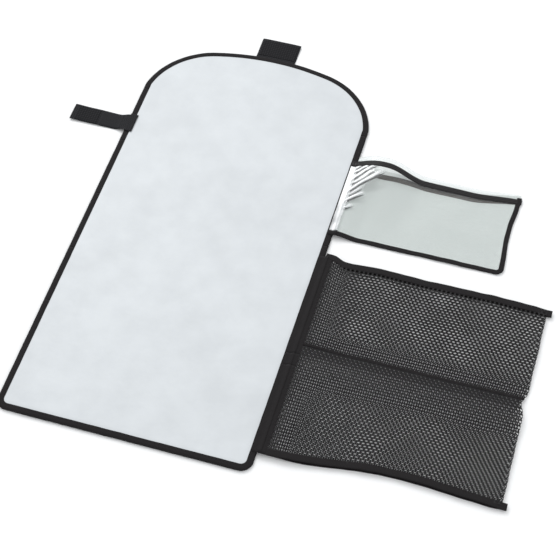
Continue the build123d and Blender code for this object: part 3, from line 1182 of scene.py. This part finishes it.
def mesh_piece(name, sizes, spans, place, stands_for, body, phase=(0.0, 0.0)):
    """A piece of knitted mesh on one body, cut to (low run, high run, low y, high y) and laid in place."""
    low_run, high_run, low_y, high_y = spans
    bm = knit(low_run, high_run, low_y, high_y, sizes, phase)
    for vert in bm.verts:
        vert.co = place(vert.co.x, vert.co.y)
    area = area_of(bm)
    made = piece(name, bm, "mesh_thread", "mesh", stands_for, sizes.thread, offset=0.0)
    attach(made, body)
    flat = (high_run - low_run, high_y - low_y)


class PAD_OT_mesh_pockets(bpy.types.Operator):
    """Knit the two mesh pockets and the strip of mesh that folds between them"""

    bl_idname = "pad.mesh_pockets"
    bl_label = "Mesh pockets"

    def execute(self, context):
        sizes = context.scene.pad_mesh
        panel = MeshPanel(sizes)
        lap = 2 * MM
        start = panel.inner - lap
        half = sizes.hem_width / 2
        pockets = (
            ("lower_pocket", panel.low_mouth + half, panel.fold_low),
            ("upper_pocket", panel.fold_high, panel.high_mouth - half),
        )
        for pocket, low, high in pockets:
            mesh_piece(
                f"{pocket}_front", sizes, (start, panel.turn_end, low, high), panel.place,
                [f"{pocket}_front_mesh", f"{pocket}_outer_fold"], pocket,
            )
            mesh_piece(
                f"{pocket}_back", sizes, (panel.turn_end, panel.far + lap, low, high), panel.place,
                [f"{pocket}_back_mesh"], pocket, BACK_PHASE,
            )
        mesh_piece(
            "pocket_fold_front", sizes, (start, panel.turn_end, panel.fold_low, panel.fold_high), panel.place,
            ["pocket_fold_mesh"], "pocket_fold",
        )
        mesh_piece(
            "pocket_fold_back", sizes, (panel.turn_end, panel.far + lap, panel.fold_low, panel.fold_high),
            panel.place, [], "pocket_fold", BACK_PHASE,
        )

        def doubled(run, y):
            spot = panel.place(run, y)
            spot.z = (panel.front(spot.x, y) + panel.back(spot.x, y)) / 2
            return spot

        mesh_piece(
            "pocket_divider_strip", sizes, (start, panel.turn_start, panel.fold_high, panel.seam), doubled,
            ["pocket_divider"], "upper_pocket", DIVIDER_PHASE,
        )
        return {"FINISHED"}


class PAD_OT_pocket_trims(bpy.types.Operator):
    """Bind the pockets' edges: hems at the mouths, the seam between the pockets, and tape along the mat"""

    bl_idname = "pad.pocket_trims"
    bl_label = "Pocket trims"

    def execute(self, context):
        sizes = context.scene.pad_mesh
        mat = context.scene.pad_mat
        panel = MeshPanel(sizes)
        self.hems(panel, sizes, mat)
        self.seam(panel, mat)
        self.sides(panel, sizes, mat)
        return {"FINISHED"}

    def hems(self, panel, sizes, mat):
        half = sizes.hem_width / 2
        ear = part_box("upper_pocket_front_hem")[1].x
        start = panel.pivot.x + 1 * MM
        for pocket, mouth, way in (
            ("lower_pocket", panel.low_mouth, 1), ("upper_pocket", panel.high_mouth, -1),
        ):
            y = mouth + way * half
            close = panel.outer - 16 * MM
            for layer, height, rise in (("front", panel.front, 1), ("back", panel.back, -1)):

                def frame_at(share, y=y, height=height, rise=rise):
                    x = mix(start, ear, share)
                    meet = smooth((x - close) / (ear - 2 * MM - close))
                    centre = (panel.front(x, y) + panel.back(x, y)) / 2
                    z = mix(height(x, y), centre + rise * sizes.hem_tape * 0.45, meet)
                    z = max(z, sizes.hem_tape * 0.5 + 0.05 * MM)
                    return Vector((x, y + panel.shift_y(x, y), z)), Vector((0, 1, 0)), UP

                walked = ear - start
                bm = tape(walked, 2.5 * MM, frame_at, band(sizes.hem_width, sizes.hem_tape))
                soften(bm, *HEM_WAVES)
                ribbon(f"{pocket}_{layer}_hem_tape", bm, pocket, [f"{pocket}_{layer}_hem"])
                if layer == "front":
                    rows = joined(*(
                        stitches(walked, mat, frame_at, across * half, sizes.hem_tape * 0.45)
                        for across in (-0.62, 0.62)
                    ))
                    soften(rows, *HEM_WAVES)
                    seam_thread(f"{pocket}_hem_stitches", rows, pocket)

    def seam(self, panel, mat):
        """Narrow tape sewn through both layers along the top of the divider."""
        def frame_at(share):
            x = mix(panel.inner, panel.edge_x(panel.seam) - 0.5 * MM, share)
            z = (panel.front(x, panel.seam) + panel.back(x, panel.seam)) / 2 + 0.5 * MM
            return Vector((x, panel.seam, z)), Vector((0, 1, 0)), UP

        walked = panel.outer - panel.inner
        bm = tape(walked, 2.5 * MM, frame_at, band(3.4 * MM, 1.3 * MM))
        soften(bm, *SEAM_WAVES)
        ribbon("pocket_seam_tape", bm, "upper_pocket")
        rows = stitches(walked, mat, frame_at, 0, 0.62 * MM)
        soften(rows, *SEAM_WAVES)
        seam_thread("pocket_seam_stitches", rows, "upper_pocket")

    def sides(self, panel, sizes, mat):
        """Tape along the panel's inner edge, and the hinge tape that joins it to the mat."""
        low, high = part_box("upper_pocket_side_binding")
        middle, width = (low.x + high.x) / 2, high.x - low.x
        runs = (
            ("lower_pocket", "mat_lower", panel.low_mouth - 6 * MM, panel.fold_low,
             ["lower_pocket_side_binding"]),
            ("pocket_fold", "first_spine", panel.fold_low, panel.fold_high, ["pocket_fold_binding"]),
            ("upper_pocket", "mat_middle", panel.fold_high, panel.high_mouth,
             ["upper_pocket_side_binding", "pocket_divider_binding"]),
        )
        for pocket, carrier, start, end, nodes in runs:

            def frame_at(share, start=start, end=end):
                return Vector((middle, mix(start, end, share), panel.pivot.z)), Vector((-1, 0, 0)), UP

            bm = tape(end - start, 2.4 * MM, frame_at, band(width, 1.5 * MM))
            soften(bm, *SIDE_WAVES)
            ribbon(f"{pocket}_side_tape", bm, pocket, nodes)
            rows = stitches(end - start, mat, frame_at, -width * 0.3, 0.72 * MM)
            seam_thread(f"{pocket}_side_stitches", rows, pocket)
            hinge = hinge_strip(start, end, panel.pivot, 0.5 * MM)
            made = piece(f"{pocket}_hinge_tape", hinge, "binding_tape", "binding")
            bend_at_edge(made, carrier, pocket, panel.pivot)


def hinge_strip(low, high, pivot, cloth, lift=0.0):
    """Tape from the mat's edge to what folds in over it, through the height of the fold."""
    start, end = HALF_WIDTH - 5.2 * MM, pivot.x + 3.5 * MM

    def place(u, v):
        x = mix(start, end, u)
        rise = smooth((x - HALF_WIDTH + 1.5 * MM) / (4 * MM))
        z = mix(MAT_TOP + 0.12 * MM, pivot.z + 0.75 * MM, rise) + lift
        y = mix(low, high, v)
        return Vector((x, y, z)), (y, x)

    bm = grid(14, max(2, round((high - low) / (2.5 * MM))), place)
    bmesh.ops.solidify(bm, geom=bm.faces[:], thickness=-cloth)
    bmesh.ops.recalc_face_normals(bm, faces=bm.faces)
    return bm


def bend_at_edge(made, carrier, folded, pivot):
    """A hinge strip's placement, baked into its mesh."""
    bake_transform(made)


# --- clear pouch ---

# Creases in the front film: where each starts up the mat's edge, its direction, its length and its height.
CREASES = (
    (0.30, 40, 20, 0.5), (0.38, 43, 32, 0.9), (0.45, 47, 30, 0.5), (0.51, 47, 56, 1.0), (0.60, 46, 38, 0.7),
    (0.67, 45, 52, 1.0), (0.75, 44, 50, 1.0), (0.82, 38, 40, 0.8), (0.88, 28, 34, 0.7), (0.94, 14, 30, 0.6),
)

# How far the front and back sides of the mouth slide up the pouch, where it is open and where it is closed.
FRONT_SLIDE = (0.6 * MM, -5.2 * MM)
BACK_SLIDE = (-6.0 * MM, -9.0 * MM)


class Pouch:
    """How the clear pouch lies: flat along its bound edges, with its mouth bowed open."""

    def __init__(self, sizes):
        self.sizes = sizes
        self.pivot = JOINTS["pouch_fold"]
        self.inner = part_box("pouch_side_binding")[0].x
        self.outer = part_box("pouch_outer_binding")[1].x
        self.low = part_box("pouch_bottom_binding")[0].y
        self.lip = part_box("pouch_front_film")[1].y
        self.strip = [corner.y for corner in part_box("pouch_front_closure")]
        self.bound_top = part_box("pouch_outer_binding")[1].y

    def edge_height(self, x):
        """Height of the bound bottom edge: level with the fold by the mat, and on the ground beyond."""
        return mix(self.pivot.z, self.sizes.rest, smooth((x - self.inner) / (26 * MM)))

    def across(self, x):
        """From 0 at the mat's edge to 1 at the outer edge."""
        return min(max((x - self.inner) / (self.outer - self.inner), 0), 1)

    def mouth_height(self, x):
        return mix(self.pivot.z, self.sizes.rest, self.across(x)) + self.sizes.arch * self.bow(x)

    def bow(self, x):
        """How far open the mouth is, from 0 to 1: it stands open near the mat, and closes beyond."""
        share = self.across(x)
        return math.sin(math.pi / 2 * min(share / 0.16, 1)) * (1 - smooth((share - 0.18) / 0.23))

    def sag(self, x):
        """How far the mouth has slid down the pouch, from 0 to 1, beyond where it stands open."""
        share = self.across(x)
        return smooth((share - 0.20) / 0.25) * (1 - smooth((share - 0.70) / 0.30))

    def mouth_shift(self, x, y, way):
        """The mouth's sides part along the ground too: way is one side's shift where open, and beyond."""
        reach = smooth((y - mix(self.low, self.lip, 0.45)) / (0.45 * (self.lip - self.low)))
        return (way[0] * self.bow(x) + way[1] * self.sag(x)) * reach

    def waist(self, x, y):
        """The outer edge draws in a little half way up."""
        share = (y - self.low) / (self.bound_top - self.low)
        return -2.6 * MM * math.sin(math.pi * min(max(share, 0), 1)) ** 2 * self.across(x) ** 2

    def creases(self, x, y):
        """Sharp folds that fan out from the mat's edge, and a crumpled corner: height, and the painted
        highlight and painted shade on them.
        """
        total, gleam = 0.0, 0.0
        for start, turn, run, height in CREASES:
            turn = math.radians(turn)
            away = Vector((x - self.inner + 5 * MM, y - mix(self.low, self.lip, start)))
            along = away.x * math.cos(turn) + away.y * math.sin(turn)
            off = away.y * math.cos(turn) - away.x * math.sin(turn)
            off += 0.8 * MM * math.sin(along / (7 * MM) + start * 40)
            width = 1.5 * MM + along * 0.02
            fade = height * smooth(along / (2 * MM)) * (1 - smooth((along / (run * MM) - 0.55) / 0.45))
            total += fade * max(0.0, 1 - abs(off) / (1.3 * width))
            # Painted highlight along each crease, and painted shade in a narrow fold beside it.
            gleam += fade * max(0.0, 1 - abs(off - 0.2 * width) / width)
            gleam -= 1.6 * fade * max(0.0, 1 - abs(off + 1.2 * width) / (0.55 * width))
        corner = 1 - smooth(math.hypot(x - self.inner, (self.lip - 6 * MM - y) * 0.8) / (34 * MM))
        crumple = corner * ripple(x, y, 6 * MM, 21)
        # Painted glints over the crumpled corner: thin bright lines and spots, with patches of painted shade.
        painted_glint_lines = max(0.0, 1 - 5 * abs(ripple(x, y, 9 * MM, 24)))
        glint = painted_glint_lines + 1.4 * max(0.0, ripple(x, y, 5 * MM, 26))
        glint -= 2.2 * max(0.0, -ripple(x, y, 4 * MM, 27) - 0.25)
        held = smooth((self.strip[0] + 2 * MM - y) / (4 * MM))
        return self.sizes.crease * (total + 0.55 * crumple) * held, (gleam + corner * glint) * held

    def hinge_gleam(self, x, y):
        """Painted highlight: the film pulled over the mat's edge is painted shining all along it."""
        up = smooth((y - self.low) / (0.6 * (self.lip - self.low)))
        shine = mix(0.32, 0.8, up) + 0.5 * ripple(x, y / 3, 5 * MM, 25)
        return max(self.creases(x, y)[1], shine * (1 - smooth((x - HALF_WIDTH - 0.5 * MM) / (3.5 * MM))))

    def front(self, x, y):
        share = (y - self.low) / (self.lip - self.low)
        height = mix(self.edge_height(x), self.mouth_height(x), smooth(share) ** 1.1)
        slack = 0.9 * MM * ripple(x, y, 36 * MM, 22) * math.sin(math.pi * self.across(x))
        return max(height + slack * math.sin(math.pi * share) + self.creases(x, y)[0], 0.9 * MM)

    def back(self, x, y):
        by_mat = 1 - smooth((x - self.inner) / (24 * MM))
        wave = 0.2 * MM * (1 + ripple(x, y, 28 * MM, 23))
        low = mix(0.3 * MM + wave, self.pivot.z - 0.6 * MM, by_mat)
        in_binding = 1 - smooth((min(y - self.low, self.outer - x) - 4 * MM) / (5 * MM))
        return mix(low, self.edge_height(x), in_binding)


def paint_film_light(made, gleam_at):
    """Paints light onto film as its gleam attribute: above 0 a painted highlight, such as where a crease
    catches the light, and below 0 painted shade in a crease's fold.
    """
    gleam = made.data.attributes.new("gleam", "FLOAT", "POINT")
    for number, vert in enumerate(made.data.vertices):
        gleam.data[number].value = gleam_at(vert.co.x, vert.co.y)


def flatten(made):
    """Puts a piece of the pouch on the pouch's body, with a mesh of its own."""
    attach(made, "clear_pouch")
    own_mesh(made)


class PAD_OT_pouch(bpy.types.Operator):
    """Make the clear pouch: film front and back, bound edges and a press closure"""

    bl_idname = "pad.pouch"
    bl_label = "Clear pouch"

    def execute(self, context):
        sizes = context.scene.pad_pouch
        mat = context.scene.pad_mat
        pouch = Pouch(sizes)
        self.films(pouch, sizes)
        self.bindings(pouch, sizes, mat)
        self.closures(pouch)
        return {"FINISHED"}

    def films(self, pouch, sizes):
        start, end = pouch.inner - 0.3 * MM, pouch.outer - 1.5 * MM
        low = pouch.low + 1.5 * MM
        for side, finish, slot, spacing, height, top, way in (
            ("front", "glossy_film", "clear_film", 1.1 * MM, pouch.front, pouch.lip, FRONT_SLIDE),
            ("back", "frosted_film", "milky_film", 3 * MM, pouch.back, pouch.lip - 1 * MM, BACK_SLIDE),
        ):

            def place(u, v, height=height, top=top, way=way):
                x, y = mix(start, end, u), mix(low, top, v)
                spot = Vector((x + pouch.waist(x, y), y + pouch.mouth_shift(x, y, way), height(x, y)))
                return spot, (x, y)

            bm = grid(round((end - start) / spacing), round((top - low) / spacing), place)
            made = piece(f"pouch_{side}", bm, finish, slot, [f"pouch_{side}_film"], sizes.film, offset=1.0)
            # The front film's creases get a painted highlight and painted shade.
            if side == "front":
                paint_film_light(made, lambda x, y: pouch.creases(x, y)[1])
            flatten(made)
            top - low

    def bindings(self, pouch, sizes, mat):
        corner = 8 * MM
        across = pouch.outer - pouch.inner - corner
        up = pouch.bound_top - pouch.low - corner
        walk = Walk((pouch.inner, pouch.low), 0.0, [
            (0, across, None), (0, corner * math.pi / 2, corner), (0, up, None),
        ])
        thick = 1.8 * MM

        def frame_at(share):
            spot, inward = walk.at(share * walk.length)
            x, y = spot
            z = pouch.edge_height(x) if share * walk.length < across else sizes.rest
            return Vector((x + pouch.waist(x, y), y, z)), Vector((inward.x, inward.y, 0)), UP

        section = [(x + sizes.binding_width / 2, z) for x, z in band(sizes.binding_width, thick)]
        bm = tape(walk.length, 2 * MM, frame_at, section)
        soften(bm, *POUCH_WAVES)
        made = piece("pouch_edge_tape", bm, "binding_tape", "binding",
                     ["pouch_bottom_binding", "pouch_outer_binding"])
        flatten(made)
        rows = stitches(walk.length, mat, frame_at, sizes.binding_width * 0.75, thick * 0.46)
        soften(rows, *POUCH_WAVES)
        flatten(piece("pouch_edge_stitches", rows, "sewing_thread", "binding"))

        self.hinges(pouch, sizes)

    def hinges(self, pouch, sizes):
        """Film, bound edge and closure all run on over the fold to the mat's own edge."""
        bound = pouch.low + sizes.binding_width
        low, high = pouch.strip
        film_end = high + 0.5 * MM
        for part, finish, slot, start, end, cloth, lift, nodes in (
            ("film", "glossy_film", "clear_film", bound, film_end, 0.4, 0.0, ["pouch_side_binding"]),
            ("tape", "binding_tape", "binding", pouch.low, bound, 0.9, 0.0, []),
            ("closure", "closure_black", "closure_tape", low, high, 0.5, 0.5, []),
        ):
            strip = hinge_strip(start, end, pouch.pivot, cloth * MM, lift * MM)
            made = piece(f"pouch_hinge_{part}", strip, finish, slot, nodes)
            # The hinge film gets a painted highlight along the mat's edge.
            if part == "film":
                paint_film_light(made, pouch.hinge_gleam)
            bend_at_edge(made, "mat_upper", "clear_pouch", pouch.pivot)

    def closures(self, pouch):
        low, high = pouch.strip
        middle, width = (low + high) / 2, high - low
        for side, finish, height, thick, over, run_on, way in (
            ("front", "closure_black", pouch.front, 1.0, 0.45, 0.5, FRONT_SLIDE),
            ("back", "closure_brown", pouch.back, 0.6, 0.3, -5.5, BACK_SLIDE),
        ):

            def frame_at(share, height=height, over=over, run_on=run_on, way=way):
                x = mix(pouch.inner + 0.3 * MM, pouch.outer + run_on * MM, share)
                y = middle + pouch.mouth_shift(x, middle, way)
                return Vector((x, y, height(x, middle) + over * MM)), Vector((0, 1, 0)), UP

            bm = tape(pouch.outer - pouch.inner, 2 * MM, frame_at, band(width, thick * MM))
            soften(bm, *CLOSURE_WAVES)
            made = piece(f"pouch_{side}_strip", bm, finish, "closure_tape", [f"pouch_{side}_closure"])
            flatten(made)


# --- studio ---

# The point on the pad that the softboxes shine at.
LIT = Vector((0.05, -0.1, 0))


class PAD_OT_finishes(bpy.types.Operator):
    """Mix the finishes that the pieces take"""

    bl_idname = "pad.finishes"
    bl_label = "Finishes"

    def execute(self, context):
        shades = colours()
        finish_cover()
        finish_tape("binding_tape", shades.binding, 0.7 * MM)
        finish_tape("sewing_thread", [part * 1.8 for part in shades.binding], 0.3 * MM)
        finish_backing()
        finish_webbing()
        finish_grip("hook_field", 1.3 * MM, 0.0)
        finish_grip("loop_fuzz", 0.9 * MM, 0.8)
        finish_mesh()
        finish_foam()
        finish_clear_film()
        finish_milky_film()
        finish_closure("closure_black", shades.binding)
        finish_closure("closure_brown", shades.closure)
        finish_ground()
        return {"FINISHED"}


class PAD_OT_studio(bpy.types.Operator):
    """Set the camera, the pale floor and the soft light"""

    bl_idname = "pad.studio"
    bl_label = "Studio"

    def execute(self, context):
        scene = context.scene
        view = scene.pad_view
        self.camera(scene, view)

        bm = bmesh.new()
        bmesh.ops.create_grid(bm, x_segments=1, y_segments=1, size=6)
        bmesh.ops.translate(bm, verts=bm.verts, vec=(0, 0, -0.1 * MM))
        mesh = bpy.data.meshes.new("studio_floor")
        bm.to_mesh(mesh)
        bm.free()
        mesh.materials.append(bpy.data.materials["studio_ground"])
        floor = bpy.data.objects.new("studio_floor", mesh)
        scene.collection.objects.link(floor)

        for name, spot, size, power in (
            ("key_softbox", (-1.0, 1.3, 1.9), 1.5, 26),
            ("fill_softbox", (1.5, -0.6, 1.6), 1.4, 5),
        ):
            self.softbox(scene, name, Vector(spot), size, power)

        world = bpy.data.worlds.new("studio_sky")
        world.use_nodes = True
        sky = world.node_tree.nodes["Background"].inputs
        sky["Color"].default_value = (0.97, 0.985, 1.0, 1)
        sky["Strength"].default_value = 0.84
        scene.world = world
        scene.view_settings.view_transform = "Standard"
        scene.view_settings.look = "None"
        return {"FINISHED"}

    def camera(self, scene, view):
        data = bpy.data.cameras.new("view_camera")
        data.lens = view.lens
        data.sensor_width = 36
        data.clip_start = 0.05
        camera = bpy.data.objects.new("view_camera", data)
        scene.collection.objects.link(camera)
        flat = math.cos(view.elevation)
        away = Vector((
            math.sin(view.azimuth) * flat, -math.cos(view.azimuth) * flat, math.sin(view.elevation),
        ))
        camera.location = Vector(view.aim) + away * view.distance
        camera.rotation_euler = away.to_track_quat("Z", "Y").to_euler()
        scene.camera = camera

    def softbox(self, scene, name, spot, size, power):
        data = bpy.data.lights.new(name, "AREA")
        data.shape = "DISK"
        data.size = size
        data.energy = power
        light = bpy.data.objects.new(name, data)
        scene.collection.objects.link(light)
        light.location = spot
        light.rotation_euler = (spot - LIT).to_track_quat("Z", "Y").to_euler()


class PAD_PT_panel(bpy.types.Panel):
    """The changing pad's steps, in the order that they are made"""

    bl_label = "Changing Pad"
    bl_idname = "PAD_PT_panel"
    bl_space_type = "VIEW_3D"
    bl_region_type = "UI"
    bl_category = "Changing Pad"

    def draw(self, context):
        for operator in OPERATORS:
            self.layout.operator(operator.bl_idname)


GROUPS = {
    "pad_mat": PadMatSizes,
    "pad_mesh": PadMeshSizes,
    "pad_pouch": PadPouchSizes,
    "pad_colours": PadColours,
    "pad_view": PadView,
}
OPERATORS = (
    PAD_OT_finishes, PAD_OT_studio, PAD_OT_cover, PAD_OT_foam, PAD_OT_backing, PAD_OT_edge_binding,
    PAD_OT_strap, PAD_OT_tab, PAD_OT_mesh_pockets, PAD_OT_pocket_trims, PAD_OT_pouch,
)


def register():
    for made in (*GROUPS.values(), *OPERATORS, PAD_PT_panel):
        bpy.utils.register_class(made)
    for name, group in GROUPS.items():
        setattr(bpy.types.Scene, name, PointerProperty(type=group))


def unregister():
    for name in GROUPS:
        delattr(bpy.types.Scene, name)
    for made in reversed((*GROUPS.values(), *OPERATORS, PAD_PT_panel)):
        bpy.utils.unregister_class(made)


def main():
    register()
    bpy.ops.pad.finishes()
    bpy.ops.pad.studio()
    bpy.ops.pad.cover()
    bpy.ops.pad.foam()
    bpy.ops.pad.backing()
    bpy.ops.pad.edge_binding()
    bpy.ops.pad.strap()
    bpy.ops.pad.tab()
    bpy.ops.pad.mesh_pockets()
    bpy.ops.pad.pocket_trims()
    bpy.ops.pad.pouch()


if __name__ == "__main__":
    main()
